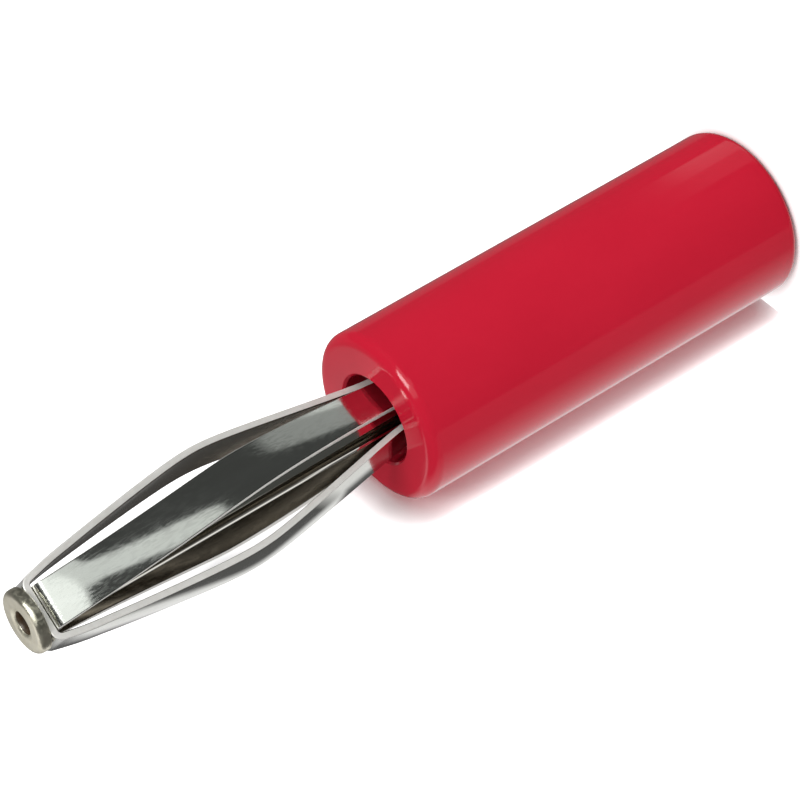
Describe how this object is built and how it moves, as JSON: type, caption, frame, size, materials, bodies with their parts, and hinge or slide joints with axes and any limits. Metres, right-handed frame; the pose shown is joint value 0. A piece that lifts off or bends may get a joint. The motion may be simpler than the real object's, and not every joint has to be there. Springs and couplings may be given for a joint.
{
  "type": "banana plug",
  "caption": "Banana plug: bowed leaf-spring contact riveted on a spindle, in a smooth red insulating sleeve that takes the cable at its rear.",
  "frame": {"origin": "middle of the sleeve's rear face, on which the plug stands", "axes": "+Z along the plug's axis, from the sleeve's rear face to the tip"},
  "size_m": [0.0076, 0.0076, 0.037],
  "materials": {
    "red_plastic": "glossy moulded red",
    "nickel_plate": "nickel plate on turned brass",
    "spindle_metal": "thin nickel plate on drawn brass",
    "spring_metal": "bright nickel plate on spring strip"
  },
  "bodies": {
    "sleeve": {"insulating_sleeve": "red_plastic"},
    "contact": {"contact_body": "nickel_plate", "spindle": "spindle_metal", "outer_spring": "spring_metal", "inner_spring": "spring_metal"}
  },
  "joints": [
    {"name": "contact_pull", "type": "slide", "parent": "sleeve", "child": "contact", "axis": [0, 0, 1], "range_m": [0, 0.016]}
  ]
}
